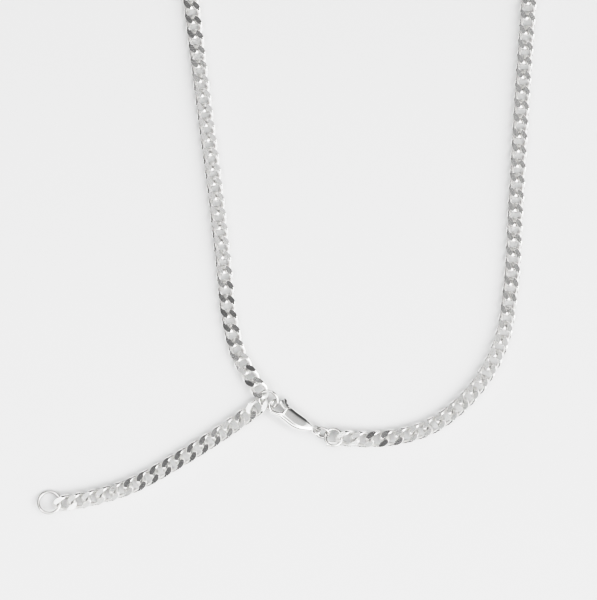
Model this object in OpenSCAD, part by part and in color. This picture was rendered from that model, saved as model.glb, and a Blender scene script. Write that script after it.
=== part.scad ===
// Flat curb chain necklace with an extender chain and a lobster clasp, laid out
// flat on a table. The two strands run up the table and close in a plain round.

/* [Chain] */
// Diameter of the round wire that the links are bent from
wire_d = 0.95; // [0.9:0.05:1.0]
// Spacing of the links along the chain
link_pitch = 3.05; // [3.0:0.05:3.2]
// Width of a link over its wire
link_w = 3.7; // [3.65:0.05:3.8]
// Twist at each end of a link, away from its flat middle
link_twist = 44; // [42:1:47]
// Thickness of the chain between its two ground faces
chain_t = 1.6; // [1.55:0.05:1.65]

/* [Rings] */
// Wire diameter of the jump ring, the end ring and the oval ring
ring_wire_d = 0.56; // [0.52:0.01:0.58]
// Outer diameter of the jump ring that holds the chain, the extender and the clasp
jump_ring_d = 4.5; // [4.45:0.01:4.55]
// Outer diameter of the ring at the free end of the extender
end_ring_d = 5.1; // [5.0:0.05:5.2]
// Outer diameter of the round part of the oval ring
oval_ring_d = 4.1; // [4.0:0.05:4.2]
// Length of the flat plate on the side of the oval ring
oval_plate_l = 3.2; // [3.0:0.1:3.3]
// Width of the flat plate on the side of the oval ring
oval_plate_w = 1.1; // [1.0:0.05:1.1]
// Thickness of the flat plate on the side of the oval ring
oval_plate_t = 0.45; // [0.4:0.05:0.5]
// Outer diameter of the small ring between the clasp and the oval ring
clasp_ring_d = 3.3; // [3.25:0.01:3.35]
// Wire diameter of the small ring between the clasp and the oval ring
clasp_ring_wire_d = 0.5; // [0.45:0.01:0.52]

/* [Clasp] */
// Thickness of the clasp at its thickest
clasp_t = 2.0; // [1.9:0.05:2.1]
// Thickness of the clasp at its nose
nose_t = 0.8; // [0.75:0.01:0.82]
// Thickness of the lever
lever_t = 0.7; // [0.6:0.05:0.7]
// Diameter of the hinge pin of the lever
pin_d = 0.6; // [0.5:0.05:0.6]
// Gap between the lever and the cheeks of the clasp
lever_gap = 0.1; // [0.1:0.01:0.12]

/* [Hidden] */
silver = [0.86, 0.86, 0.85];

// Places along the chains are measured from the middle of the clasped end, and
// this moves them to the middle of the whole necklace.
frame_shift = [1.7, -57.6];

// Way of the main chain: up the left strand from the jump ring, round, and down
// the right strand to the oval ring. Each row is x, y.
main_route = [
    [-7.42, -19.55], [-9.4, -16.6], [-12.2, -11.6], [-14.2, -4], [-15.4, 7], [-16.8, 19.6], [-19.5, 40.3],
    [-22.2, 62], [-25.2, 88], [-25.8, 116], [-18, 140], [-2, 155.5], [17, 157.5], [35, 147],
    [46.5, 126], [49.2, 95], [47.5, 60.5], [46.3, 43.2], [45, 21], [43.6, 0.2], [42.4, -7],
    [39, -14.9], [34, -21.2], [27.2, -26.2], [21.9, -28], [14.8, -28.8], [8.63, -28.55]];
// Way of the extender, from the jump ring to the end ring
extender_route = [
    [-7.33, -21.22], [-9.8, -23.2], [-14, -26.2], [-24.3, -32.8], [-35.1, -38.6], [-44.9, -41.4],
    [-49.75, -42.18]];

// Centre line of a link: a rounded oval that is squarer than an ellipse
link_overlap = 0.2;
link_l = link_pitch + wire_d + link_overlap;
link_half_w = (link_w - wire_d) / 2;
link_squareness = 2.4;
link_sections = 10;
wire_sides = 5;
// The last links at a ring are lifted and rolled, so that the ring passes through
end_fade = 4.5;
main_ends = [[1.58, -1.1], [0.38, -13.9]];
extender_ends = [[0.52, 17.6], [0.38, -16]];
// Slight turns of the lying chain about its own length. Each row is the length
// run from the jump ring and the turn there.
main_turns = [[18, 0], [30, 4.5], [64, 4.5], [77, 0.8], [90, 0], [280, 0], [300, 0.5], [320, 2.5], [378, 2.5],
              [388, 5], [402, 5], [414, 4.5], [420, 2.5], [425, 0]];
extender_turns = [[30, 0], [37, -4], [43, -3], [47, 0]];
// Distance from the middle of the chain to the lowest edge of a turned link
turn_reach = 2;

function unit(v) = v / norm(v);
function bent_power(c, p) = sign(c) * pow(abs(c), 2 / p);

// Smooth curve through the points of a route, with eight steps to a stretch
route_steps = 8;
function spans(r) = [for (i = [0 : len(r) - 2]) norm(r[i + 1] - r[i])];
function slope(r, d, i) =
    i == 0 ? (r[1] - r[0]) / d[0] :
    i == len(r) - 1 ? (r[i] - r[i - 1]) / d[i - 1] :
    ((r[i + 1] - r[i]) * d[i - 1] / d[i] + (r[i] - r[i - 1]) * d[i] / d[i - 1]) / (d[i - 1] + d[i]);
function blend(p0, m0, p1, m1, t) =
    (2 * pow(t, 3) - 3 * pow(t, 2) + 1) * p0 + (pow(t, 3) - 2 * pow(t, 2) + t) * m0
    + (3 * pow(t, 2) - 2 * pow(t, 3)) * p1 + (pow(t, 3) - pow(t, 2)) * m1;
function smooth(r) = let (d = spans(r)) concat(
    [for (i = [0 : len(r) - 2]) for (k = [0 : route_steps - 1])
        blend(r[i], slope(r, d, i) * d[i], r[i + 1], slope(r, d, i + 1) * d[i], k / route_steps)],
    [r[len(r) - 1]]);

// A track is the smooth curve as two tables against the length run along it
function run_lengths(c) = let (d = spans(c))
    [for (i = 0, s = 0; i < len(c); s = s + (i < len(d) ? d[i] : 0), i = i + 1) s];
function track(r) = let (c = smooth(r), s = run_lengths(c))
    [for (a = [0, 1]) [for (i = [0 : len(c) - 1]) [s[i], c[i][a] + frame_shift[a]]]];
function track_length(tr) = tr[0][len(tr[0]) - 1][0];
function along(tr, s) = [lookup(s, tr[0]), lookup(s, tr[1])];

// Height and roll of the chain at the length s of a track of the length total.
// A turned chain is raised by as much as its lower edge would sink.
function end_pull(ends, s, total) = ends[0] * exp(-s / end_fade) + ends[1] * exp((s - total) / end_fade);
function height(ends, turns, s, total) = chain_t / 2 + end_pull(ends, s, total)[0]
    + turn_reach * sin(abs(lookup(s, turns)));
function roll(ends, turns, s, total) = end_pull(ends, s, total)[1] + lookup(s, turns);

// Axes of the link whose middle is at the length s
function place(tr, ends, turns, s) = let (
        total = track_length(tr),
        back = along(tr, max(0, s - link_pitch / 2)),
        front = along(tr, min(total, s + link_pitch / 2)),
        ahead_s = min(total, s + 0.5),
        rise = height(ends, turns, ahead_s, total) - height(ends, turns, ahead_s - 1, total),
        ahead = unit([unit(front - back)[0], unit(front - back)[1], rise]),
        level = unit(cross([0, 0, 1], ahead)),
        upright = cross(ahead, level),
        a = roll(ends, turns, s, total),
        middle = along(tr, s),
        side = level * cos(a) + upright * sin(a))
    [[middle[0], middle[1], height(ends, turns, s, total)], ahead, side, cross(ahead, side)];

// Point of a link's centre line at the angle t, and the way its wire faces
function link_point(t) = let (
        u = bent_power(cos(t), link_squareness),
        w = link_half_w * bent_power(sin(t), link_squareness),
        a = -link_twist * sin(90 * u))
    [link_l / 2 * u, w * cos(a), w * sin(a)];
function link_facing(p) = [p[0] / pow(link_l / 2, 2), p[1] / pow(link_half_w, 2),
                           p[2] / pow(chain_t / 3, 2)];
function link_section(t) = let (
        p = link_point(t),
        run = unit(link_point(t + 1) - link_point(t - 1)),
        n = link_facing(p),
        out = unit(n - (n * run) * run),
        across = cross(run, out))
    [for (j = [0 : wire_sides - 1]) let (b = 360 * j / wire_sides)
        p + wire_d / 2 * (cos(b) * out + sin(b) * across)];
// The two faces of the chain are ground flat, as far as the wire comes this near to them
grind_reach = 0.2;
function ground(p) = abs(p[2]) > chain_t / 2 - grind_reach ? [p[0], p[1], sign(p[2]) * chain_t / 2] : p;
link_points = [for (k = [0 : link_sections - 1]) for (p = link_section(360 * (k + 0.5) / link_sections))
    ground(p)];
link_faces = [for (k = [0 : link_sections - 1]) for (j = [0 : wire_sides - 1]) let (
        a = k * wire_sides,
        b = ((k + 1) % link_sections) * wire_sides,
        n = (j + 1) % wire_sides)
    each [[a + j, b + n, a + n], [a + j, b + j, b + n]]];

// Links first to last of a chain of the given count, evenly spaced on its track
module links(tr, ends, turns, count, first, last) {
    total = track_length(tr);
    size = link_sections * wire_sides;
    points = [for (i = [first : last]) let (f = place(tr, ends, turns, total * (i + 0.5) / count))
        for (p = link_points) f[0] + p[0] * f[1] + p[1] * f[2] + p[2] * f[3]];
    faces = [for (i = [0 : last - first]) for (f = link_faces) [for (v = f) v + i * size]];
    polyhedron(points, faces, convexity = 10);
}

main_track = track(main_route);
main_count = round(track_length(main_track) / link_pitch);
half_count = floor(main_count / 2);
extender_track = track(extender_route);
extender_count = round(track_length(extender_track) / link_pitch);

// Places of the rings: x and y of the centre, its height, the way its high side
// faces, and its tilt
jump_ring_place = [-6.25, -20.56, 2.05, 57.7, 27.6];
end_ring_place = [-51.48, -41.82, 0.84, -79.7, 14.1];
oval_ring_place = [7.24, -28.37, 1.31, -115.7, 17.8];
clasp_ring_place = [4.95, -27.42, 1.28, 66.1, 46.8];
oval_plate_set_in = 0.1;
clasp_place = [-2.35, -23.15, 1.65];
clasp_heading = 146.9;
clasp_roll = 23.5;
clasp_pitch = 3;

module at_ring(place) {
    translate([place[0] + frame_shift[0], place[1] + frame_shift[1], place[2]])
        rotate([0, 0, place[3]]) rotate([0, -place[4], 0]) rotate([0, 0, -place[3]])
            children();
}

module ring(outer_d, wire) {
    rotate_extrude($fn = 64) translate([(outer_d - wire) / 2, 0]) circle(d = wire, $fn = 24);
}

// The clasp lies along x with its nose forward, its fixed claw on the side of +y
// and its lever on the side of -y
module at_clasp() {
    translate([clasp_place[0] + frame_shift[0], clasp_place[1] + frame_shift[1], clasp_place[2]])
        rotate([0, 0, clasp_heading]) rotate([0, -clasp_pitch, 0]) rotate([clasp_roll, 0, 0])
            children();
}

nose_centre = [2.4, 0.4];
nose_r = 1.45;
nose_bar = 0.8;
pin_at = [0, -0.45];
eyelet_at = [-7.1, -0.1];
eyelet_d = 2.0;
eyelet_hole_d = 1.1;
eyelet_t = 0.5;
// The pin sits tight in the cheeks, and the lever turns on it
pin_fit = 0.04;
lever_bore_fit = 0.1;
pin_sunk = 0.05;

// Stations of the clasp from its tail to the tip of its claw: the middle of the
// section, its heading, its width and its thickness
clasp_tail = [
    [-6.4, 0, 0, 0.9, 0.7], [-5.0, 0.35, 0, 2.3, 1.5], [-3.9, 0.52, 0, 3.1, 1.85],
    [-2.3, 0.62, 0, 3.5, clasp_t], [-1.0, 0.5, 0, 3.5, clasp_t], [0.35, 0.4, 0, 3.4, 1.9],
    [0.95, 1.3, 0, 1.35, 1.5], [1.6, 1.58, 8, 1.05, 1.2]];
nose_start = 75;
nose_step = 31;
nose_end = -80;
nose_taper = 0.25;
clasp_nose = [for (a = [nose_start : -nose_step : nose_end])
    [nose_centre[0] + nose_r * cos(a), nose_centre[1] + nose_r * sin(a), a - 90, nose_bar,
     nose_t + nose_taper * max(0, a) / nose_start]];
clasp_stations = concat(clasp_tail, clasp_nose);
clasp_bevel = 0.3;

// Eight-sided section with bevelled edges
function clasp_section(row) = let (
        w = row[3] / 2,
        h = row[4] / 2,
        b = min(clasp_bevel, 0.6 * h, 0.45 * w),
        side = [-sin(row[2]), cos(row[2]), 0])
    [for (q = [[w, h - b], [w - b, h], [b - w, h], [-w, h - b],
               [-w, b - h], [b - w, -h], [w - b, -h], [w, b - h]])
        [row[0], row[1], 0] + q[0] * side + [0, 0, q[1]]];

module clasp_claw() {
    n = len(clasp_stations);
    points = [for (row = clasp_stations) each clasp_section(row)];
    sides = [for (k = [0 : n - 2]) for (j = [0 : 7]) let (a = 8 * k, b = 8 * (k + 1), m = (j + 1) % 8)
        each [[a + j, b + j, b + m], [a + j, b + m, a + m]]];
    ends = [[for (j = [0 : 7]) j], [for (j = [7 : -1 : 0]) 8 * (n - 1) + j]];
    polyhedron(points, concat(sides, ends), convexity = 6);
}

lever_root_r = 0.75;
module lever_outline() {
    translate(pin_at) circle(r = lever_root_r, $fn = 48);
    polygon([[-0.1, -1.15], [1.0, -1.5], [1.3, -2.05], [1.95, -2.2], [2.05, -1.55], [2.3, -1.5],
             [2.42, -0.72], [1.7, -0.45], [0.5, 0.15]]);
}

// Room that the lever's root and arm take up while it opens
module lever_room() {
    translate(pin_at) circle(r = lever_root_r + lever_gap, $fn = 48);
    polygon([[-0.6, -1.1], [-0.3, -2.4], [1.6, -2.4], [2.0, 0.2], [0.9, 0.5], [0.4, 0.5]]);
}

module clasp_body() color(silver) at_clasp() difference() {
    union() {
        clasp_claw();
        translate([eyelet_at[0], eyelet_at[1], -eyelet_t / 2])
            cylinder(d = eyelet_d, h = eyelet_t, $fn = 48);
    }
    translate([eyelet_at[0], eyelet_at[1], -clasp_t])
        cylinder(d = eyelet_hole_d, h = 2 * clasp_t, $fn = 48);
    translate([0, 0, -lever_t / 2 - lever_gap])
        linear_extrude(lever_t + 2 * lever_gap) lever_room();
    translate([pin_at[0], pin_at[1], -clasp_t])
        cylinder(d = pin_d + pin_fit, h = 2 * clasp_t, $fn = 48);
}

module clasp_lever() color(silver) at_clasp() difference() {
    translate([0, 0, -lever_t / 2]) linear_extrude(lever_t) lever_outline();
    translate([pin_at[0], pin_at[1], -lever_t])
        cylinder(d = pin_d + lever_bore_fit, h = 2 * lever_t, $fn = 48);
}

module clasp_pin() color(silver) at_clasp()
    translate([pin_at[0], pin_at[1], pin_sunk - clasp_t / 2])
        cylinder(d = pin_d, h = clasp_t - 2 * pin_sunk, $fn = 48);

module chain_left() color(silver)
    links(main_track, main_ends, main_turns, main_count, 0, half_count - 1);
module chain_right() color(silver)
    links(main_track, main_ends, main_turns, main_count, half_count, main_count - 1);
module extender_chain() color(silver)
    links(extender_track, extender_ends, extender_turns, extender_count, 0, extender_count - 1);
module jump_ring() color(silver) at_ring(jump_ring_place) ring(jump_ring_d, ring_wire_d);
module end_ring() color(silver) at_ring(end_ring_place) ring(end_ring_d, ring_wire_d);
module clasp_ring() color(silver) at_ring(clasp_ring_place) ring(clasp_ring_d, clasp_ring_wire_d);

module oval_ring() color(silver) at_ring(oval_ring_place) {
    ring(oval_ring_d, ring_wire_d);
    translate([-oval_plate_l / 2, oval_plate_set_in - oval_ring_d / 2, -oval_plate_t / 2])
        cube([oval_plate_l, oval_plate_w, oval_plate_t]);
}

chain_left();
chain_right();
extender_chain();
jump_ring();
end_ring();
oval_ring();
clasp_ring();
clasp_body();
clasp_lever();
clasp_pin();
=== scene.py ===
"""A flat curb chain necklace of polished silver, laid out on a pale table.

The chains, rings and clasp are surfaces worked out as numpy arrays, in millimetres in each
piece's own frame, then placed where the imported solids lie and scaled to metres. The clasp's
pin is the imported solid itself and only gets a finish.
"""

from __future__ import annotations

import logging
import math
from dataclasses import dataclass, field
from enum import Enum

import bpy
import numpy as np
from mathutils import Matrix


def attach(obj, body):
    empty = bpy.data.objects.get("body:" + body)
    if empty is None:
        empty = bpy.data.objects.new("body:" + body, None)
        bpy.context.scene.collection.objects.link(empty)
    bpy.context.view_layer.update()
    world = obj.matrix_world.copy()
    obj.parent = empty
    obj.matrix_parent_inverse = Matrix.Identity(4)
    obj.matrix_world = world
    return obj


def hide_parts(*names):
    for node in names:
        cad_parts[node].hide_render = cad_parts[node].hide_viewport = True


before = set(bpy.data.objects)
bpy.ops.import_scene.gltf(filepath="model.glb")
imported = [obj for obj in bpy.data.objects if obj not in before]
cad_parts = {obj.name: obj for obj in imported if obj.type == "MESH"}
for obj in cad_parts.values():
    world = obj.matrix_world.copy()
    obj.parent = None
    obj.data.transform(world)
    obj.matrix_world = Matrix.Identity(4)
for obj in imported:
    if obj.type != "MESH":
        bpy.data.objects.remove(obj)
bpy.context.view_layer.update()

LOG = logging.getLogger("necklace")
MM = 0.001
# The middle of the picture in the frame. Places below are measured from it.
FRAME_SHIFT = np.array([1.7, -57.6, 0.0])

Pair = tuple[float, float]
Triple = tuple[float, float, float]
Socket = bpy.types.NodeSocket
Source = Socket | float | tuple[float, ...]


class Body(Enum):
    """The bodies that the pieces ride on."""

    NECKLACE = "necklace"
    LEVER = "lever"


class Slot(Enum):
    """The material slots of the record."""

    CHAIN = "chain_silver"
    RING = "ring_silver"
    CLASP = "clasp_silver"


class Axis(Enum):
    """The axes of a frame."""

    X = 0
    Y = 1
    Z = 2


class Mark(Enum):
    """Values kept at each point of a link, for its finish to read."""

    GROUND = "ground"
    OUTER = "outer"


class Joining(Enum):
    """How one solid is joined to another."""

    ADDED = "UNION"
    TAKEN_OFF = "DIFFERENCE"


def add_object(name: str, data: bpy.types.ID) -> bpy.types.Object:
    """Adds an object to the scene.

    Args:
        name: its name.
        data: its mesh, lamp or camera.

    Returns:
        The new object.
    """
    made = bpy.data.objects.new(name, data)
    bpy.context.scene.collection.objects.link(made)
    return made


# Numbers and meshes


def unit(vectors: np.ndarray) -> np.ndarray:
    """Vectors scaled to length one along their last axis."""
    return vectors / np.linalg.norm(vectors, axis=-1, keepdims=True)


def bent_power(values: np.ndarray, squareness: float) -> np.ndarray:
    """Signed power 2 / squareness of a cosine or a sine, which squares up an ellipse."""
    return np.sign(values) * np.abs(values) ** (2 / squareness)


def turn(axis: Axis, degrees: float) -> np.ndarray:
    """Rotation matrix about an axis.

    Args:
        axis: the axis.
        degrees: the angle, positive by the right-hand rule.

    Returns:
        A 3 by 3 matrix.
    """
    c, s = math.cos(math.radians(degrees)), math.sin(math.radians(degrees))
    j, k = (axis.value + 1) % 3, (axis.value + 2) % 3
    matrix = np.eye(3)
    matrix[j, j], matrix[j, k], matrix[k, j], matrix[k, k] = c, -s, s, c
    return matrix


def angles_round(count: int, shift: float = 0.0) -> np.ndarray:
    """So many equal steps round a circle in radians, from a share of a step onwards."""
    return 2 * np.pi * (np.arange(count) + shift) / count


def arc(centre: Pair, r: float, angles: np.ndarray) -> np.ndarray:
    """Points x, y of a circle at angles in radians, one row each."""
    return np.column_stack([centre[0] + r * np.cos(angles), centre[1] + r * np.sin(angles)])


def hermite(rows: np.ndarray, starts: np.ndarray, ends: np.ndarray, steps: int) -> np.ndarray:
    """Rows eased between stations by cubics.

    Between stations a and b with slopes p and q, t going from 0 to 1, a row is
    (2t^3 - 3t^2 + 1) a + (t^3 - 2t^2 + t) p + (3t^2 - 2t^3) b + (t^3 - t^2) q.

    Args:
        rows: one row for each station.
        starts: the slope at the start of each stretch between stations.
        ends: the slope at the end of each stretch.
        steps: the number of steps in a stretch.

    Returns:
        The rows, with the stations among them.
    """
    t = (np.arange(steps) / steps)[None, :, None]
    a, b, p, q = rows[:-1, None], rows[1:, None], starts[:, None], ends[:, None]
    eased = (2 * t**3 - 3 * t**2 + 1) * a + (t**3 - 2 * t**2 + t) * p
    eased = eased + (3 * t**2 - 2 * t**3) * b + (t**3 - t**2) * q
    return np.vstack([eased.reshape(-1, rows.shape[1]), rows[-1:]])


def smooth_rows(rows: np.ndarray, steps: int) -> np.ndarray:
    """Rows eased between the given ones without overshoot (a monotone cubic in each column).

    The slope at a row is the harmonic mean of the slopes to its neighbours where both have
    the same sign, and nought elsewhere.

    Args:
        rows: one row for each station.
        steps: the number of steps from one station to the next.

    Returns:
        The rows, with the stations among them.
    """
    d = np.diff(rows, axis=0)
    before, after = d[:-1], d[1:]
    same = before * after > 0
    total = np.where(same, before + after, 1)
    inner = np.where(same, 2 * before * after / total, 0)
    slopes = np.vstack([d[:1], inner, d[-1:]])
    return hermite(rows, slopes[:-1], slopes[1:], steps)


def grid_quads(rows: int, sides: int, closed_rows: bool) -> np.ndarray:
    """Quads of a grid whose sides close on themselves.

    Args:
        rows: the number of sections along the path.
        sides: the number of points round a section.
        closed_rows: whether the last section joins the first.

    Returns:
        An array of quads, four point indices each, of points counted section by section.
    """
    k = np.arange(rows if closed_rows else rows - 1)[:, None]
    j = np.arange(sides)[None, :]
    ahead, beside = (k + 1) % rows, (j + 1) % sides
    corners = (k * sides + j, k * sides + beside, ahead * sides + beside, ahead * sides + j)
    return np.stack(corners, -1).reshape(-1, 4)


@dataclass
class Surface:
    """Points in millimetres, the quads and triangles on them, and marks at each point."""

    points: np.ndarray
    quads: np.ndarray
    triangles: np.ndarray = field(default_factory=lambda: np.zeros((0, 3), int))
    marks: dict[Mark, np.ndarray] = field(default_factory=dict)

    @staticmethod
    def capped(points: np.ndarray, rows: int, ends: list[list[float]] | np.ndarray) -> Surface:
        """Sections along a path, the first and the last closed by a fan.

        Args:
            points: the sections' points, one row each, section by section.
            rows: the number of sections.
            ends: the middle points of the first and the last fan.

        Returns:
            The closed surface.
        """
        n = len(points)
        sides = n // rows
        j = np.arange(sides)
        k = (j + 1) % sides
        low = np.column_stack([np.full(sides, n), k, j])
        high = np.column_stack([np.full(sides, n + 1), n - sides + j, n - sides + k])
        quads = grid_quads(rows, sides, closed_rows=False)
        return Surface(np.vstack([points, ends]), quads, np.vstack([low, high]))

    @staticmethod
    def round_circle(out: np.ndarray, up: np.ndarray, phi: np.ndarray) -> Surface:
        """A section carried round a circle: (out cos(phi), out sin(phi), up).

        Args:
            out: the points' distances from the circle's axis, a row for each section.
            up: their heights.
            phi: the sections' angles in radians, as a column.

        Returns:
            The surface, closed both ways.
        """
        points = np.stack([out * np.cos(phi), out * np.sin(phi), up * np.ones_like(phi)], -1)
        quads = grid_quads(*points.shape[:2], closed_rows=True)[:, ::-1]
        return Surface(points.reshape(-1, 3), quads)

    def placed(self, place: Triple | np.ndarray, matrix: np.ndarray | None = None) -> Surface:
        """The surface turned by the matrix, if there is one, and then moved to the place."""
        turned = self.points if matrix is None else self.points @ matrix.T
        return Surface(turned + np.array(place), self.quads, self.triangles, self.marks)

    def joined(self, other: Surface) -> Surface:
        """This surface and another as one, without marks."""
        n = len(self.points)
        return Surface(
            np.vstack([self.points, other.points]),
            np.vstack([self.quads, other.quads + n]),
            np.vstack([self.triangles, other.triangles + n]),
        )

    def mesh(self, name: str) -> bpy.types.Mesh:
        """A Blender mesh of the surface in metres, smooth but for the edges of ground faces.

        A face is ground where all its points are, and an edge is sharp where just one of its
        two faces is ground.

        Args:
            name: the mesh's name.

        Returns:
            The mesh.
        """
        mesh = bpy.data.meshes.new(name)
        corners = np.concatenate([self.quads.ravel(), self.triangles.ravel()])
        sizes = np.repeat([4, 3], [len(self.quads), len(self.triangles)])
        mesh.vertices.add(len(self.points))
        mesh.vertices.foreach_set("co", (self.points * MM).astype(np.float32).ravel())
        mesh.loops.add(len(corners))
        mesh.loops.foreach_set("vertex_index", corners.astype(np.int32))
        mesh.polygons.add(len(sizes))
        starts = np.r_[0, np.cumsum(sizes)[:-1]]
        mesh.polygons.foreach_set("loop_start", starts.astype(np.int32))
        mesh.polygons.foreach_set("use_smooth", np.ones(len(sizes), bool))
        mesh.update(calc_edges=True)
        for mark, kept in self.marks.items():
            values = mesh.attributes.new(mark.value, "FLOAT", "POINT")
            values.data.foreach_set("value", kept.astype(np.float32))
        if Mark.GROUND in self.marks:
            kept = self.marks[Mark.GROUND]
            ground = np.r_[kept[self.quads].all(1), kept[self.triangles].all(1)]
            edges = np.empty(len(mesh.loops), np.int32)
            mesh.loops.foreach_get("edge_index", edges)
            beside = np.bincount(edges, np.repeat(ground, sizes), len(mesh.edges))
            sharp = mesh.attributes.new("sharp_edge", "BOOLEAN", "EDGE")
            sharp.data.foreach_set("value", beside == 1)
        return mesh


def stacked(outlines: list[np.ndarray], heights: np.ndarray, middle: Pair) -> Surface:
    """Level outlines one above another, the lowest and the highest closed by fans.

    Args:
        outlines: points x, y against the clock, from the lowest outline upwards.
        heights: the outlines' heights.
        middle: the place x, y that the fans spread from.

    Returns:
        The closed surface.
    """
    levels = [np.column_stack([o, np.full(len(o), z)]) for o, z in zip(outlines, heights)]
    ends = [[*middle, heights[0]], [*middle, heights[-1]]]
    return Surface.capped(np.vstack(levels), len(levels), ends)


def prism(outline: np.ndarray, half: float) -> Surface:
    """An outline carried from half its height below the level of nought to half above it."""
    return stacked([outline, outline], np.array([-half, half]), outline.mean(0))


# Finishes


@dataclass
class NodeWork:
    """Adds shader nodes to a tree, each input fed by a socket or set to a value."""

    tree: bpy.types.NodeTree

    def fill(self, node: bpy.types.Node, inputs: dict[str | int, Source]) -> None:
        """Links a node's inputs to their sources, or sets them where those are values.

        Args:
            node: the node.
            inputs: the source of each input, by its name or number.
        """
        for key, source in inputs.items():
            if isinstance(source, Socket):
                self.tree.links.new(source, node.inputs[key])
            else:
                node.inputs[key].default_value = source

    def node(self, kind: str, inputs: dict[str | int, Source], **settings: str) -> bpy.types.Node:
        """A new node.

        Args:
            kind: its type's name without the leading ShaderNode.
            inputs: the source of each input.
            settings: its properties by name.

        Returns:
            The node.
        """
        made = self.tree.nodes.new(f"ShaderNode{kind}")
        for name, setting in settings.items():
            setattr(made, name, setting)
        self.fill(made, inputs)
        return made

    def maths(self, operation: str, *values: Source) -> Socket:
        """The result of an operation on values."""
        return self.node("Math", dict(enumerate(values)), operation=operation).outputs["Value"]

    def dot(self, vector: Socket, direction: Triple) -> Socket:
        """The dot product of a vector with a direction."""
        inputs = {0: vector, 1: direction}
        return self.node("VectorMath", inputs, operation="DOT_PRODUCT").outputs["Value"]

    def noise(self, vector: Socket, per_m: float, detail: float) -> Socket:
        """The factor of a noise texture of so many waves a metre, with octaves of detail."""
        inputs = {"Vector": vector, "Scale": per_m, "Detail": detail}
        return self.node("TexNoise", inputs).outputs["Fac"]

    def tones(self, share: Socket, low: Triple, high: Triple) -> Socket:
        """The colour that lies a share of the way from one to another."""
        inputs = {"Factor": share, "A": (*low, 1), "B": (*high, 1)}
        return self.node("Mix", inputs, data_type="RGBA").outputs["Result"]

    def map_range(
        self, value: Socket, over: Pair, to: Pair = (0.0, 1.0), kind: str = "LINEAR"
    ) -> Socket:
        """A value carried from one range to another and kept within it.

        Args:
            value: the value's socket.
            over: the range that it goes over.
            to: the results at the ends of that range.
            kind: the node's interpolation.

        Returns:
            The result's socket.
        """
        ends = dict(zip(("From Min", "From Max", "To Min", "To Max"), (*over, *to)))
        made = self.node("MapRange", {"Value": value, **ends}, interpolation_type=kind)
        return made.outputs["Result"]


def new_material(name: str) -> tuple[bpy.types.Material, NodeWork, bpy.types.Node]:
    """A new node material.

    Args:
        name: the material's name.

    Returns:
        The material, the work on its nodes, and its shader.
    """
    made = bpy.data.materials.new(name)
    made.use_nodes = True
    return made, NodeWork(made.node_tree), made.node_tree.nodes["Principled BSDF"]


@dataclass(frozen=True)
class SilverFinish:
    """Polished silver: its tone, how mirror-like it is, and the marks that polishing leaves."""

    name: str
    smoothest: float
    roughest: float
    light_tone: Triple = (0.985, 0.98, 0.972)
    dark_tone: Triple = (0.95, 0.945, 0.935)
    cloud_per_m: float = 700.0
    cloud_detail: float = 3.0
    grain_per_m: float = 4000.0
    grain_detail: float = 4.0
    grain_drawn: float = 0.6
    grain_height: float = 0.000004
    grain_strength: float = 0.35
    reads_marks: bool = False
    outer_share: float = 0.25
    ground_share: float = 0.2
    ground_over: Pair = (0.9, 1.0)

    def material(self) -> bpy.types.Material:
        """The finish as a node material on Object coordinates.

        Clouds of tone and roughness come from one noise, fine polishing marks from another
        that is drawn out along x. The ground faces of the links and their outer flanks, which
        rub against the skin, are smoother than the inside of the chain.

        Returns:
            The material.
        """
        made, work, shader = new_material(self.name)
        place = work.node("TexCoord", {}).outputs["Object"]
        clouds = work.noise(place, self.cloud_per_m, self.cloud_detail)
        level = work.map_range(clouds, (0.0, 1.0), (self.roughest, self.smoothest))
        if self.reads_marks:
            level = self._smoother(work, level, Mark.OUTER, (0.0, 1.0), self.outer_share)
            level = self._smoother(work, level, Mark.GROUND, self.ground_over, self.ground_share)
        drawn = work.node("Mapping", {"Vector": place, "Scale": (self.grain_drawn, 1.0, 1.0)})
        marks = {
            "Height": work.noise(drawn.outputs["Vector"], self.grain_per_m, self.grain_detail),
            "Strength": self.grain_strength,
            "Distance": self.grain_height,
        }
        inputs = {
            "Metallic": 1.0,
            "Base Color": work.tones(clouds, self.dark_tone, self.light_tone),
            "Roughness": level,
            "Normal": work.node("Bump", marks).outputs["Normal"],
        }
        work.fill(shader, inputs)
        return made

    @staticmethod
    def _smoother(work: NodeWork, level: Socket, mark: Mark, over: Pair, share: float) -> Socket:
        """Lowers a roughness to a share of itself as a mark's value goes over a range."""
        value = work.node("Attribute", {}, attribute_name=mark.value).outputs["Fac"]
        return work.maths("MULTIPLY", level, work.map_range(value, over, (1.0, share)))


@dataclass(frozen=True)
class TableFinish:
    """Pale and almost matt, with the faintest mottle and a painted pool of light, lighter towards
    the viewer.
    """

    name: str = "pale_table"
    dark_tone: float = 0.685
    light_tone: float = 0.805
    painted_light_over: Pair = (0.01, -0.13)
    painted_light_share: float = 0.8
    mottle_share: float = 0.2
    mottle_per_m: float = 9.0
    mottle_detail: float = 2.0
    roughness: float = 0.75
    specular: float = 0.2

    def material(self) -> bpy.types.Material:
        """The finish as a node material on Object coordinates.

        Returns:
            The material.
        """
        made, work, shader = new_material(self.name)
        place = work.node("TexCoord", {}).outputs["Object"]
        mottle = work.noise(place, self.mottle_per_m, self.mottle_detail)
        # Painted light: the tone is made lighter towards the viewer, along minus y, a painted pool
        # of the lamps' light.
        up = work.node("SeparateXYZ", {"Vector": place}).outputs["Y"]
        fade = work.map_range(up, self.painted_light_over, (0.0, self.painted_light_share))
        share = work.maths("MULTIPLY_ADD", mottle, self.mottle_share, fade)
        inputs = {
            "Base Color": work.tones(share, (self.dark_tone,) * 3, (self.light_tone,) * 3),
            "Roughness": self.roughness,
            "Specular IOR Level": self.specular,
        }
        work.fill(shader, inputs)
        return made


# Pieces


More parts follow.
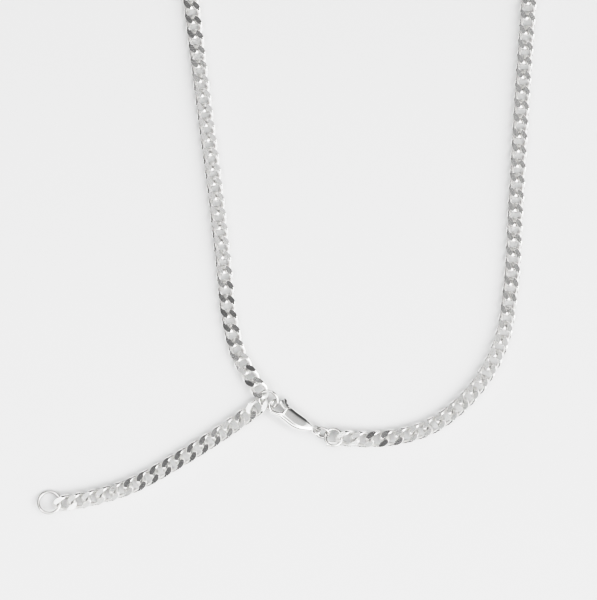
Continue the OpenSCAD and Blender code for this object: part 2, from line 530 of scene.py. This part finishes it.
def add_piece(mesh: bpy.types.Mesh, body: Body, node: str) -> bpy.types.Object:
    """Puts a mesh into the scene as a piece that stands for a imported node.

    Args:
        mesh: the piece's mesh, in place.
        body: the body that it rides on.
        node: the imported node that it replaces.

    Returns:
        The new object.
    """
    piece = add_object(mesh.name, mesh)
    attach(piece, body.value)
    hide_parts(node)
    LOG.info("%s: %d faces, rides on %s", piece.name, len(mesh.polygons), body.value)
    return piece


@dataclass
class SubAssembly:
    """Pieces that are built together and have one finish."""

    pieces: list[bpy.types.Object] = field(default_factory=list, init=False)

    def build(self) -> None:
        """Makes the pieces."""
        raise NotImplementedError

    def dress(self, finish: SilverFinish) -> None:
        """Gives every piece the finish all over.

        Args:
            finish: the finish.
        """
        material = finish.material()
        for piece in self.pieces:
            piece.data.materials.clear()
            piece.data.materials.append(material)


# The chains


@dataclass
class CurbLink:
    """A squared oval of round wire, twisted at its ends and ground flat on both faces."""

    wire_d: float = 0.95
    pitch: float = 3.05
    overlap: float = 0.2
    width: float = 3.7
    twist: float = 44.0
    thickness: float = 1.6
    ground_by: float = 0.02
    ground_slack: float = 0.0001
    squareness: float = 2.4
    flank_from: float = 0.33
    flank_over: float = 0.08
    sections: int = 48
    sides: int = 16

    @property
    def half_size(self) -> np.ndarray:
        """Half the length, width and height of the wire's centre line, the height roughly."""
        length = self.pitch + self.wire_d + self.overlap
        return np.array([length / 2, (self.width - self.wire_d) / 2, self.thickness / 3])

    def centre_line(self, t: np.ndarray) -> np.ndarray:
        """Points of the wire's centre line.

        The plan is an ellipse whose cosine and sine are raised to the power 2 / squareness.
        The side offset is then turned about the length by minus twist times sin(90 u), u
        running from -1 at one end of the link to 1 at the other.

        Args:
            t: angles round the link in radians.

        Returns:
            Points, one row each.
        """
        half = self.half_size
        u = bent_power(np.cos(t), self.squareness)
        w = half[1] * bent_power(np.sin(t), self.squareness)
        a = -np.radians(self.twist) * np.sin(np.pi / 2 * u)
        return np.stack([half[0] * u, w * np.cos(a), w * np.sin(a)], -1)

    def section_axes(self, t: np.ndarray) -> tuple[np.ndarray, np.ndarray]:
        """Two axes of each section, square to the wire and to each other.

        The first is the gradient of an ellipsoid with the link's half sizes, less its share
        along the wire. The second is the cross product of the wire's direction with it.

        Args:
            t: the sections' angles round the link in radians.

        Returns:
            The axis that points out of the link, and the one across it.
        """
        step = 0.01
        run = unit(self.centre_line(t + step) - self.centre_line(t - step))
        facing = self.centre_line(t) / self.half_size**2
        out = unit(facing - np.sum(facing * run, -1, keepdims=True) * run)
        return out, np.cross(run, out)

    def section_angles(
        self, heights: np.ndarray, out: np.ndarray, across: np.ndarray, limit: float
    ) -> np.ndarray:
        """Angles of the points of each section, two of them on the edges of its ground face.

        A circle about a middle at height h has the height h + reach cos(b - top) at the
        angle b, so it crosses the face at top plus and minus arccos((limit - h) / reach). A
        point on each side of the top slides onto the crossing, for a clean edge.

        Args:
            heights: the heights of the sections' middles.
            out: the sections' first axes.
            across: their second axes.
            limit: the height of the ground face.

        Returns:
            The angles in radians, one row for each section.
        """
        apart = 2 * np.pi / self.sides
        b = np.tile(apart * np.arange(self.sides), (self.sections, 1))
        face = np.where(heights < 0, -1.0, 1.0)
        rise = face * out[:, 2], face * across[:, 2]
        reach = self.wire_d / 2 * np.hypot(*rise)
        top = np.arctan2(rise[1], rise[0])
        spare = (limit - np.abs(heights)) / reach
        open_half = np.arccos(np.clip(spare, -1, 1))
        below = np.round(top / apart - 0.5)
        low = np.minimum(np.round((top - open_half) / apart), below)
        high = np.maximum(np.round((top + open_half) / apart), below + 1)
        cut = np.nonzero(spare < 1)[0]
        for which, edge in ((low, top - open_half), (high, top + open_half)):
            b[cut, which[cut].astype(int) % self.sides] = edge[cut]
        return b

    def surface(self) -> Surface:
        """The wire carried round the centre line, its round cut off by the two ground faces.

        Each section is a circle square to the centre line, and what lies beyond a ground face
        is pressed down to it. The marks say which points are ground, and how far a point is
        on the link's outer flank.

        Returns:
            The link's surface.
        """
        t = angles_round(self.sections, 0.5)
        middles = self.centre_line(t)
        out, across = self.section_axes(t)
        limit = self.thickness / 2 - self.ground_by
        b = self.section_angles(middles[:, 2], out, across, limit)[..., None]
        circle = np.cos(b) * out[:, None] + np.sin(b) * across[:, None]
        points = middles[:, None] + self.wire_d / 2 * circle
        ground = np.abs(points[..., 2]) > limit - self.ground_slack
        points[..., 2] = np.clip(points[..., 2], -limit, limit)
        beyond = np.abs(points[..., 1]) - self.flank_from * self.width
        outer = np.clip(beyond / (self.flank_over * self.width), 0, 1)
        marks = {Mark.GROUND: ground.ravel().astype(float), Mark.OUTER: outer.ravel()}
        quads = grid_quads(self.sections, self.sides, closed_rows=True)
        return Surface(points.reshape(-1, 3), quads, marks=marks)


@dataclass(frozen=True)
class EndPull:
    """How a ring holds a chain's end: lifted in millimetres and rolled in degrees."""

    lift: float
    roll: float


@dataclass
class ChainLay:
    """How a chain lies: its route, the pull on its ends, and slight turns along it.

    Each turn is the length run along the chain and the turn there in degrees.
    """

    route: tuple[Pair, ...]
    ends: tuple[EndPull, EndPull]
    turns: tuple[Pair, ...]
    link: CurbLink = field(default_factory=CurbLink)
    end_fade: float = 4.5
    turn_reach: float = 2.0
    slope_span: float = 1.0
    steps: int = 8
    curve: np.ndarray = field(init=False)
    run: np.ndarray = field(init=False)

    def __post_init__(self) -> None:
        """Works out the smooth curve through the route and the length run along it.

        The slope at a point is the mean of the slopes on both sides, each weighted by the
        length of the other side's chord.
        """
        route = np.array(self.route) + FRAME_SHIFT[:2]
        chord = np.diff(route, axis=0)
        d = np.linalg.norm(chord, axis=1)[:, None]
        slope = np.empty_like(route)
        slope[0], slope[-1] = chord[0] / d[0], chord[-1] / d[-1]
        weighted = chord[1:] * d[:-1] / d[1:] + chord[:-1] * d[1:] / d[:-1]
        slope[1:-1] = weighted / (d[:-1] + d[1:])
        self.curve = hermite(route, slope[:-1] * d, slope[1:] * d, self.steps)
        self.run = np.r_[0, np.cumsum(np.linalg.norm(np.diff(self.curve, axis=0), axis=1))]

    @property
    def length(self) -> float:
        """Length of the chain's middle line."""
        return float(self.run[-1])

    @property
    def count(self) -> int:
        """Number of links."""
        return round(self.length / self.link.pitch)

    def along(self, s: np.ndarray) -> np.ndarray:
        """Places x, y on the table at lengths along the chain, one row each."""
        s = np.clip(s, 0, self.length)
        return np.stack([np.interp(s, self.run, self.curve[:, i]) for i in (0, 1)], -1)

    def roll_and_height(self, s: np.ndarray) -> tuple[np.ndarray, np.ndarray]:
        """Roll in degrees and height of the chain's middle.

        The pull of a ring on the chain's end fades with the distance from it as
        exp(-distance / fade), and a turned stretch is raised by as much as its lower edge
        would sink.

        Args:
            s: lengths along the chain.

        Returns:
            The rolls and the heights.
        """
        start, end = self.ends
        by_start = np.exp(-s / self.end_fade)
        by_end = np.exp((s - self.length) / self.end_fade)
        lift = start.lift * by_start + end.lift * by_end
        roll = start.roll * by_start + end.roll * by_end
        table = np.array(self.turns)
        turned = np.interp(s, table[:, 0], table[:, 1])
        raised = self.turn_reach * np.sin(np.radians(np.abs(turned)))
        return roll + turned, self.link.thickness / 2 + lift + raised

    def frames(self, first: int, last: int) -> tuple[np.ndarray, np.ndarray]:
        """Middles and axes of links.

        A link points along the chord of the route under it and along the rise there. Its side
        is the level direction square to that, turned by the roll.

        Args:
            first: the number of the first link.
            last: the number of the last link.

        Returns:
            The middles, and for each link a matrix whose rows are its axes.
        """
        s = self.length * (np.arange(first, last + 1) + 0.5) / self.count
        way = unit(self.along(s + self.link.pitch / 2) - self.along(s - self.link.pitch / 2))
        ahead_s = np.minimum(self.length, s + self.slope_span / 2)
        heights = [self.roll_and_height(at)[1] for at in (ahead_s, ahead_s - self.slope_span)]
        rise = (heights[0] - heights[1]) / self.slope_span
        ahead = unit(np.column_stack([way, rise]))
        level = unit(np.cross([0, 0, 1], ahead))
        upright = np.cross(ahead, level)
        roll, height = self.roll_and_height(s)
        a = np.radians(roll)[:, None]
        side = level * np.cos(a) + upright * np.sin(a)
        axes = np.stack([ahead, side, np.cross(ahead, side)], 1)
        return np.column_stack([self.along(s), height]), axes


@dataclass
class CurbChain:
    """A stretch of chain, links first to last of its lay, as one piece."""

    name: str
    node: str
    lay: ChainLay
    first: int
    last: int

    def build(self) -> bpy.types.Object:
        """Repeats the link's surface at each link's place.

        Returns:
            The chain's object.
        """
        link = self.lay.link.surface()
        middles, axes = self.lay.frames(self.first, self.last)
        points = middles[:, None] + np.einsum("pk,nkx->npx", link.points, axes)
        n = len(middles)
        offsets = (np.arange(n) * len(link.points))[:, None, None]
        quads = (link.quads[None] + offsets).reshape(-1, 4)
        marks = {mark: np.tile(values, n) for mark, values in link.marks.items()}
        surface = Surface(points.reshape(-1, 3), quads, marks=marks)
        return add_piece(surface.mesh(self.name), Body.NECKLACE, self.node)


# The rings


@dataclass(frozen=True)
class RingPlace:
    """Where a ring is: its centre, the way its high side faces, and its tilt."""

    centre: Triple
    heading: float
    tilt: float

    def put(self, surface: Surface) -> Surface:
        """A surface brought from the ring's own frame into place."""
        matrix = turn(Axis.Z, self.heading) @ turn(Axis.Y, -self.tilt) @ turn(Axis.Z, -self.heading)
        return surface.placed(self.centre + FRAME_SHIFT, matrix)


@dataclass
class WireRing:
    """A ring of round wire, closed at a cut that shows as a hairline groove."""

    name: str
    node: str
    place: RingPlace
    outer_d: float
    cut_at: float
    wire_d: float = 0.56
    groove_depth: float = 0.035
    groove_width: float = 0.035
    crowding: float = 0.8
    sections: int = 144
    sides: int = 24

    def surface(self) -> Surface:
        """A circle carried round a circle, drawn in at the cut.

        The sections crowd towards the cut, their angle being v - crowding sin(v), and the wire
        is thinner there by the groove's depth times exp(-(distance / width)^2).

        Returns:
            The ring's surface in its own frame.
        """
        v = angles_round(self.sections) - np.pi
        phi = v - self.crowding * np.sin(v)
        middle = (self.outer_d - self.wire_d) / 2
        away = phi * middle / self.groove_width
        r = (self.wire_d / 2 - self.groove_depth * np.exp(-(away**2)))[:, None]
        phi = (phi + math.radians(self.cut_at))[:, None]
        b = angles_round(self.sides)[None, :]
        return Surface.round_circle(middle + r * np.cos(b), r * np.sin(b), phi)

    def build(self) -> bpy.types.Object:
        """The ring's object, in place."""
        surface = self.place.put(self.surface())
        return add_piece(surface.mesh(self.name), Body.NECKLACE, self.node)


@dataclass
class PlatedRing(WireRing):
    """A wire ring with a small bare plate soldered along its low side."""

    plate: Triple = (3.2, 1.1, 0.45)
    set_in: float = 0.1
    plate_squareness: float = 8.0
    edge_squareness: float = 4.0
    plate_rows: int = 32
    plate_sides: int = 64

    def surface(self) -> Surface:
        """The ring with its plate, a superellipsoid of the plate's half sizes.

        The cosines and sines of latitude and longitude are squared up by signed powers.

        Returns:
            The surface in the ring's own frame.
        """
        lat = np.linspace(-np.pi / 2, np.pi / 2, self.plate_rows + 2)[1:-1][:, None]
        lon = angles_round(self.plate_sides)[None, :]
        half = np.array(self.plate) / 2
        flat = bent_power(np.cos(lat), self.edge_squareness)
        points = np.stack(
            [
                half[0] * flat * bent_power(np.cos(lon), self.plate_squareness),
                half[1] * flat * bent_power(np.sin(lon), self.plate_squareness),
                half[2] * bent_power(np.sin(lat), self.edge_squareness) * np.ones_like(lon),
            ],
            -1,
        ).reshape(-1, 3)
        ends = [[0, 0, -half[2]], [0, 0, half[2]]]
        plate = Surface.capped(points, self.plate_rows, ends)
        low_side = self.set_in + (self.plate[1] - self.outer_d) / 2
        return super().surface().joined(plate.placed((0, low_side, 0)))


# The clasp


@dataclass
class LobsterClasp(SubAssembly):
    """A lobster clasp: a cast body with an eyelet and a claw, a sprung lever and its pin."""

    centre: Triple = (-2.35, -23.15, 1.65)
    heading: float = 146.9
    roll: float = 23.5
    pitch: float = 3.0
    thickness: float = 2.0
    nose_thickness: float = 0.8
    nose_swell: float = 0.25
    nose_centre: Pair = (2.4, 0.4)
    nose_r: float = 1.45
    nose_bar: float = 0.8
    nose_sweep: Pair = (75.0, -80.0)
    nose_step: float = 15.5
    loft_steps: int = 8
    loft_sides: int = 64
    loft_power: int = 7
    bevel: float = 0.3
    bevel_shares: Pair = (0.45, 0.6)
    end_r: float = 0.35
    end_least: float = 0.02
    pin_at: Pair = (0.0, -0.45)
    pin_d: float = 0.6
    pin_play: float = 0.05
    lever_t: float = 0.7
    lever_gap: float = 0.1
    lever_root_r: float = 0.75
    lever_root_span: tuple[int, int, int] = (40, 281, 12)
    lever_edge_r: float = 0.09
    lever_middle: Pair = (1.0, -0.75)
    eyelet_at: Pair = (-7.1, -0.1)
    eyelet_d: float = 2.0
    eyelet_hole_d: float = 1.1
    eyelet_t: float = 0.5
    eyelet_squareness: float = 3.0
    eyelet_rows: int = 72
    eyelet_sides: int = 24
    bore_sides: int = 48
    sharp_degrees: float = 32.0

    def build(self) -> None:
        """Makes the body and the lever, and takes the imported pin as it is."""
        self.pieces = [self.build_body(), self.build_lever(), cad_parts["clasp_pin"]]

    def stations(self) -> np.ndarray:
        """Rows of x, y, heading, width and thickness from the tail to the claw's tip.

        The claw follows a circle about the nose's centre, and is thicker where it starts.

        Returns:
            The rows, eased between the clasp's main sections.
        """
        t = self.thickness
        tail = [
            [-6.4, 0, 0, 0.9, 0.7],
            [-5.0, 0.35, 0, 2.3, 1.5],
            [-3.9, 0.52, 0, 3.1, 1.85],
            [-2.3, 0.62, 0, 3.5, t],
            [-1.0, 0.5, 0, 3.5, t],
            [0.35, 0.4, 0, 3.4, 1.9],
            [0.95, 1.3, 0, 1.35, 1.5],
            [1.6, 1.58, 8, 1.05, 1.2],
        ]
        start, end = self.nose_sweep
        a = np.arange(start, end - 1, -self.nose_step)
        thick = self.nose_thickness + self.nose_swell * np.maximum(0, a) / start
        bend = arc(self.nose_centre, self.nose_r, np.radians(a))
        nose = np.column_stack([bend, a - 90, np.full(len(a), self.nose_bar), thick])
        return smooth_rows(np.vstack([tail, nose]), self.loft_steps)

    def body_loft(self) -> Surface:
        """A bevelled section carried along the stations.

        The section is an octagon with rounded corners: in the direction q, its reach is one
        over the power norm of q's share of each of the eight faces' distances. The last
        sections at both ends draw in as a quarter circle.

        Returns:
            The loft in the clasp's own frame, with both ends closed.
        """
        rows = self.stations()
        w, h = rows[:, 3:4] / 2, rows[:, 4:5] / 2
        least = np.minimum(self.bevel_shares[1] * h, self.bevel_shares[0] * w)
        bevel = np.minimum(self.bevel, least)
        phi = angles_round(self.loft_sides, 0.5)[None, :]
        q = unit(np.stack([w * np.cos(phi), h * np.sin(phi)], -1))
        slant = (w + h - bevel) / math.sqrt(2)
        x, y = np.abs(q[..., 0]), np.abs(q[..., 1])
        shares = x / w, y / h, (x + y) / math.sqrt(2) / slant
        reach = sum(s**self.loft_power for s in shares) ** (-1 / self.loft_power)
        path = np.r_[0, np.cumsum(np.linalg.norm(np.diff(rows[:, :2], axis=0), axis=1))]
        to_end = np.minimum(path, path[-1] - path) / self.end_r
        fullness = 1 - (1 - np.minimum(to_end, 1)) ** 2
        drawn = np.sqrt(np.clip(fullness, self.end_least, 1))[:, None]
        turned = np.radians(rows[:, 2:3])
        side = reach * drawn * q[..., 0]
        across = rows[:, 0:1] - side * np.sin(turned), rows[:, 1:2] + side * np.cos(turned)
        points = np.stack([*across, reach * drawn * q[..., 1]], -1).reshape(-1, 3)
        return Surface.capped(points, len(rows), np.column_stack([rows[[0, -1], :2], [0, 0]]))

    def eyelet(self) -> Surface:
        """A squared oval section carried round a circle, at the clasp's tail.

        Returns:
            The eyelet in the clasp's own frame.
        """
        phi = angles_round(self.eyelet_rows)[:, None]
        b = angles_round(self.eyelet_sides)[None, :]
        bar = (self.eyelet_d - self.eyelet_hole_d) / 4
        middle = (self.eyelet_d + self.eyelet_hole_d) / 4
        out = middle + bar * bent_power(np.cos(b), self.eyelet_squareness)
        z = self.eyelet_t / 2 * bent_power(np.sin(b), self.eyelet_squareness)
        return Surface.round_circle(out, z, phi).placed((*self.eyelet_at, 0))

    def lever_room(self) -> list[Surface]:
        """The slot that the lever's root and arm turn in, as prisms.

        Returns:
            The prisms in the clasp's own frame.
        """
        half = self.lever_t / 2 + self.lever_gap
        r = self.lever_root_r + self.lever_gap
        root = arc(self.pin_at, r, angles_round(self.loft_sides))
        arm = [[-0.6, -1.1], [-0.3, -2.4], [1.6, -2.4], [2.0, 0.2], [0.9, 0.5], [0.4, 0.5]]
        return [prism(root, half), prism(np.array(arm), half)]

    def build_body(self) -> bpy.types.Object:
        """The body: loft and eyelet joined, less the eyelet's hole and the lever's slot.

        Returns:
            The body's object.
        """
        hole = arc(self.eyelet_at, self.eyelet_hole_d / 2, angles_round(self.loft_sides))
        rooms = [prism(hole, self.thickness), *self.lever_room()]
        steps = [(Joining.ADDED, self.eyelet()), *((Joining.TAKEN_OFF, room) for room in rooms)]
        mesh = self._worked("clasp_body_cast", self.body_loft(), steps)
        return add_piece(mesh, Body.NECKLACE, "clasp_body")

    def build_lever(self) -> bpy.types.Object:
        """The lever: its outline carried up with rounded edges, bored for the pin.

        The outline is the root's round, then the arm with its thumb tab. Going up, it draws in
        along its own normal by the edge radius times one minus the cosine of the edge's angle.

        Returns:
            The lever's object.
        """
        root = arc(self.pin_at, self.lever_root_r, np.radians(np.arange(*self.lever_root_span)))
        arm = [
            [0.6, -1.36], [1.0, -1.5], [1.16, -1.78], [1.32, -2.04], [1.62, -2.16],
            [1.93, -2.18], [2.0, -1.88], [2.06, -1.58], [2.3, -1.48], [2.37, -1.1],
            [2.4, -0.74], [2.05, -0.6], [1.7, -0.46], [1.1, -0.22],
        ]
        outline = np.vstack([root, arm])
        way = unit(np.roll(outline, -1, 0) - np.roll(outline, 1, 0))
        inward = np.column_stack([-way[:, 1], way[:, 0]])
        edge = np.radians([90, 60, 30, 0])
        drawn = self.lever_edge_r * (1 - np.cos(edge))
        z = self.lever_t / 2 - self.lever_edge_r + self.lever_edge_r * np.sin(edge)
        outlines = [outline + inward * inset for inset in (*drawn, *drawn[::-1])]
        blank = stacked(outlines, np.r_[-z, z[::-1]], self.lever_middle)
        bore = arc(self.pin_at, self.pin_d / 2 + self.pin_play, angles_round(self.bore_sides))
        steps = [(Joining.TAKEN_OFF, prism(bore, self.thickness / 2))]
        mesh = self._worked("clasp_lever_cast", blank, steps)
        return add_piece(mesh, Body.LEVER, "clasp_lever")

    def _worked(
        self, name: str, blank: Surface, steps: list[tuple[Joining, Surface]]
    ) -> bpy.types.Mesh:
        """A blank to which solids are added and from which solids are taken off, in place.

        Args:
            name: the finished mesh's name.
            blank: the surface to start from, in the clasp's own frame.
            steps: each solid and how it is joined, in order.

        Returns:
            The mesh in place in metres, smooth but for its sharp edges.
        """
        solid = self._loose(f"{name}_blank", blank)
        tools = [self._loose(f"{name}_tool_{i}", step[1]) for i, step in enumerate(steps)]
        for (joining, _), tool in zip(steps, tools):
            cut = solid.modifiers.new(joining.name, "BOOLEAN")
            cut.operation, cut.object, cut.solver = joining.value, tool, "EXACT"
        worked = solid.evaluated_get(bpy.context.evaluated_depsgraph_get())
        mesh = bpy.data.meshes.new_from_object(worked)
        for scrap in (solid, *tools):
            bpy.data.objects.remove(scrap)
        mesh.name = name
        points = np.empty(len(mesh.vertices) * 3, np.float32)
        mesh.vertices.foreach_get("co", points)
        rolled = turn(Axis.Y, -self.pitch) @ turn(Axis.X, self.roll)
        matrix = turn(Axis.Z, self.heading) @ rolled
        placed = points.reshape(-1, 3).astype(float) @ matrix.T + (self.centre + FRAME_SHIFT)
        mesh.vertices.foreach_set("co", (placed * MM).astype(np.float32).ravel())
        mesh.polygons.foreach_set("use_smooth", np.ones(len(mesh.polygons), bool))
        mesh.update()
        mesh.set_sharp_from_angle(angle=math.radians(self.sharp_degrees))
        return mesh

    @staticmethod
    def _loose(name: str, surface: Surface) -> bpy.types.Object:
        """A surface as an object for the solids' joining, one unit to the millimetre."""
        scaled = Surface(surface.points / MM, surface.quads, surface.triangles)
        return add_object(name, scaled.mesh(name))


# The studio


@dataclass(frozen=True)
class TentCard:
    """A round patch of the tent that is dimmed, or lit where its depth is less than nought.

    Its middle is given by azimuth and by the angle from straight up, in degrees. It is full as
    far as one angle from its middle and ends at another.
    """

    azimuth: float
    zenith: float
    full: float
    edge: float
    depth: float

    def way(self) -> Triple:
        """The direction of the card's middle."""
        a, z = math.radians(self.azimuth), math.radians(self.zenith)
        return math.sin(z) * math.cos(a), math.sin(z) * math.sin(a), math.cos(z)

    def over(self) -> Pair:
        """The cosines of the angles from the middle at which the card starts and is full."""
        return math.cos(math.radians(self.edge)), math.cos(math.radians(self.full))


@dataclass(frozen=True)
class LightTent:
    """The world's light, which goes by the angle from straight up and by its cards.

    Each level is an angle in degrees and the brightness there, from overhead to the horizon.
    The tent leans a little to +X, for the camera's dark opening isn't quite overhead.
    """

    levels: tuple[Pair, ...] = (
        (0, 0.085), (2.6, 0.1), (3.4, 0.16), (4.2, 0.27), (5.2, 0.42), (8, 0.62), (14, 0.72),
        (22, 0.72), (25, 1.35), (34, 2.25), (48, 2.15), (58, 1.65), (68, 0.85), (90, 0.6),
    )
    lean: float = 1.0
    cards: tuple[TentCard, ...] = (
        TentCard(azimuth=143, zenith=109, full=64, edge=74, depth=0.88),
        TentCard(azimuth=126, zenith=21, full=8, edge=13, depth=0.86),
        TentCard(azimuth=44, zenith=48, full=12, edge=24, depth=0.75),
        TentCard(azimuth=56, zenith=84, full=28, edge=36, depth=0.87),
        TentCard(azimuth=-112, zenith=93, full=34, edge=46, depth=0.85),
        TentCard(azimuth=-20, zenith=88, full=26, edge=42, depth=-2.4),
    )

    def build(self) -> None:
        """Makes the world, its colour by the angle from straight up, its strength by cards."""
        world = bpy.data.worlds.new("light_tent")
        bpy.context.scene.world = world
        world.use_nodes = True
        work = NodeWork(world.node_tree)
        way = work.node("TexCoord", {}).outputs["Generated"]
        lean = math.radians(self.lean)
        rise = work.dot(way, (math.sin(lean), 0, math.cos(lean)))
        share = work.maths("DIVIDE", work.maths("ARCCOSINE", rise), math.pi / 2)
        ramp = work.node("ValToRGB", {"Fac": share})
        points = ramp.color_ramp.elements
        for angle, _ in self.levels[1:-1]:
            points.new(angle / self.levels[-1][0])
        for point, (_, level) in zip(points, self.levels):
            point.color = (level, level, level, 1)
        inputs = {"Color": ramp.outputs["Color"], "Strength": self._left_by_cards(work, way)}
        work.fill(world.node_tree.nodes["Background"], inputs)

    def _left_by_cards(self, work: NodeWork, way: Socket) -> Socket:
        """What the cards leave of the light: the product of 1 - depth * eased nearness.

        Args:
            work: the work on the world's nodes.
            way: the socket of the direction.

        Returns:
            The product's socket.
        """
        left = None
        for card in self.cards:
            near = work.map_range(work.dot(way, card.way()), card.over(), kind="SMOOTHSTEP")
            rest = work.maths("MULTIPLY_ADD", near, -card.depth, 1.0)
            left = rest if left is None else work.maths("MULTIPLY", rest, left)
        return left


@dataclass(frozen=True)
class SoftBox:
    """A square lamp that faces the necklace from an azimuth and elevation in degrees.

    Its size and distance are in metres and its power in watts.
    """

    name: str
    azimuth: float
    elevation: float
    size: float
    power: float
    distance: float = 1.0

    def build(self) -> None:
        """Puts the lamp into the scene."""
        lamp = bpy.data.lights.new(self.name, "AREA")
        lamp.size = self.size
        lamp.energy = self.power
        made = add_object(self.name, lamp)
        down = 90 - self.elevation
        matrix = turn(Axis.Z, self.azimuth) @ turn(Axis.Y, down)
        made.location = matrix @ [0, 0, self.distance] + FRAME_SHIFT * MM
        made.rotation_euler = (0, math.radians(down), math.radians(self.azimuth))


@dataclass
class Studio:
    """The pale table, the light tent round it and the camera straight above."""

    picture_height_px: int = 600
    px_per_mm: float = 4.84
    camera_height: float = 2000.0
    sensor_mm: float = 36.0
    clip: Pair = (0.05, 20.0)
    chain_middle: float = 0.8
    table_size: float = 4.0
    table: TableFinish = TableFinish()
    tent: LightTent = LightTent()
    key: SoftBox = SoftBox("key_box", azimuth=-25, elevation=50, size=0.8, power=1.3)
    shoulder: tuple[Pair, ...] = (
        (0.075, 0.14), (0.2, 0.4), (0.3, 0.64), (0.45, 0.83), (0.56, 0.88), (0.8, 0.95),
    )
    shoulder_white: float = 2.0

    def build(self) -> None:
        """Makes the whole studio."""
        self.set_view()
        self.build_table()
        self.tent.build()
        self.key.build()
        self.build_camera()

    def set_view(self) -> None:
        """Plain display colours with a camera's soft shoulder, which keeps the highlights.

        The shoulder is a curve over all channels, from the white level down.
        """
        view = bpy.context.scene.view_settings
        view.view_transform = "Standard"
        view.use_curve_mapping = True
        mapping = view.curve_mapping
        mapping.white_level = (self.shoulder_white,) * 3
        all_channels = mapping.curves[3]
        for level, shown in self.shoulder:
            all_channels.points.new(level, shown)
        mapping.update()

    def build_table(self) -> None:
        """Makes the table top, a large flat square."""
        half = self.table_size / 2
        mesh = bpy.data.meshes.new("table_top")
        corners = [(-half, -half, 0), (half, -half, 0), (half, half, 0), (-half, half, 0)]
        mesh.from_pydata(corners, [], [(0, 1, 2, 3)])
        mesh.materials.append(self.table.material())
        add_object("table_top", mesh)

    def build_camera(self) -> None:
        """Puts the camera straight above the middle of the picture, at the photograph's scale."""
        lens = bpy.data.cameras.new("overhead_camera")
        lens.sensor_fit = "VERTICAL"
        lens.sensor_height = self.sensor_mm
        field_mm = self.picture_height_px / self.px_per_mm
        lens.lens = self.sensor_mm * (self.camera_height - self.chain_middle) / field_mm
        lens.clip_start, lens.clip_end = self.clip
        camera = add_object("overhead_camera", lens)
        camera.location = (FRAME_SHIFT + [0, 0, self.camera_height]) * MM
        bpy.context.scene.camera = camera


# The necklace's own sizes and places

MAIN_ROUTE = (
    (-7.42, -19.55), (-9.4, -16.6), (-12.2, -11.6), (-14.2, -4), (-15.4, 7), (-16.8, 19.6),
    (-19.5, 40.3), (-22.2, 62), (-25.2, 88), (-25.8, 116), (-18, 140), (-2, 155.5),
    (17, 157.5), (35, 147), (46.5, 126), (49.2, 95), (47.5, 60.5), (46.3, 43.2), (45, 21),
    (43.6, 0.2), (42.4, -7), (39, -14.9), (34, -21.2), (27.2, -26.2), (21.9, -28),
    (14.8, -28.8), (8.63, -28.55),
)
MAIN_ENDS = (EndPull(lift=1.58, roll=-1.1), EndPull(lift=0.38, roll=-13.9))
MAIN_TURNS = (
    (18, 0), (30, 4.5), (64, 4.5), (77, 0.8), (90, 0), (280, 0), (300, 0.5), (320, 2.5),
    (378, 2.5), (388, 5), (402, 5), (414, 4.5), (420, 2.5), (425, 0),
)
EXTENDER_ROUTE = (
    (-7.33, -21.22), (-9.8, -23.2), (-14, -26.2), (-24.3, -32.8), (-35.1, -38.6),
    (-44.9, -41.4), (-49.75, -42.18),
)
EXTENDER_ENDS = (EndPull(lift=0.52, roll=17.6), EndPull(lift=0.38, roll=-16))
EXTENDER_TURNS = ((30, 0), (37, -4), (43, -3), (47, 0))

CHAIN_FINISH = SilverFinish(
    "chain_polish", smoothest=0.4, roughest=0.58, grain_height=0.00003, reads_marks=True
)
# Painted shade: the rings' silver is toned much darker than the chain's and the clasp's, so the
# rings show grey as if in shade.
RING_FINISH = SilverFinish(
    "ring_polish_painted_shade",
    smoothest=0.05,
    roughest=0.12,
    light_tone=(0.78, 0.775, 0.765),
    dark_tone=(0.6, 0.595, 0.585),
)
CLASP_FINISH = SilverFinish("clasp_polish", smoothest=0.08, roughest=0.16)


@dataclass
class Chains(SubAssembly):
    """The main chain, in two strands that meet at the far side of the loop, and the extender."""

    main_lay: ChainLay
    extender_lay: ChainLay

    def build(self) -> None:
        """Makes the two strands and the extender."""
        count = self.main_lay.count
        half = count // 2
        links = self.extender_lay.count
        stretches = (
            CurbChain("left_strand", "chain_left", self.main_lay, 0, half - 1),
            CurbChain("right_strand", "chain_right", self.main_lay, half, count - 1),
            CurbChain("extender_links", "extender_chain", self.extender_lay, 0, links - 1),
        )
        self.pieces = [stretch.build() for stretch in stretches]


@dataclass
class Rings(SubAssembly):
    """The four rings of the necklace, each where it lies."""

    jump: RingPlace = RingPlace((-6.25, -20.56, 2.05), heading=57.7, tilt=27.6)
    end: RingPlace = RingPlace((-51.48, -41.82, 0.84), heading=-79.7, tilt=14.1)
    oval: RingPlace = RingPlace((7.24, -28.37, 1.31), heading=-115.7, tilt=17.8)
    clasp: RingPlace = RingPlace((4.95, -27.42, 1.28), heading=66.1, tilt=46.8)

    def build(self) -> None:
        """Makes the rings."""
        rings = (
            WireRing("jump_ring_wire", "jump_ring", self.jump, outer_d=4.5, cut_at=-150),
            WireRing("end_ring_wire", "end_ring", self.end, outer_d=5.1, cut_at=20),
            PlatedRing("oval_ring_wire", "oval_ring", self.oval, outer_d=4.1, cut_at=100),
            WireRing("clasp_ring_wire", "clasp_ring", self.clasp, 3.3, 60, wire_d=0.5),
        )
        self.pieces = [ring.build() for ring in rings]


def main() -> None:
    """Builds the necklace and the studio in order."""
    logging.basicConfig(level=logging.INFO, format="%(name)s: %(message)s")
    chains = Chains(
        ChainLay(MAIN_ROUTE, MAIN_ENDS, MAIN_TURNS),
        ChainLay(EXTENDER_ROUTE, EXTENDER_ENDS, EXTENDER_TURNS),
    )
    for part, finish in (
        (chains, CHAIN_FINISH),
        (Rings(), RING_FINISH),
        (LobsterClasp(), CLASP_FINISH),
    ):
        part.build()
        part.dress(finish)
    Studio().build()


if __name__ == "__main__":
    main()
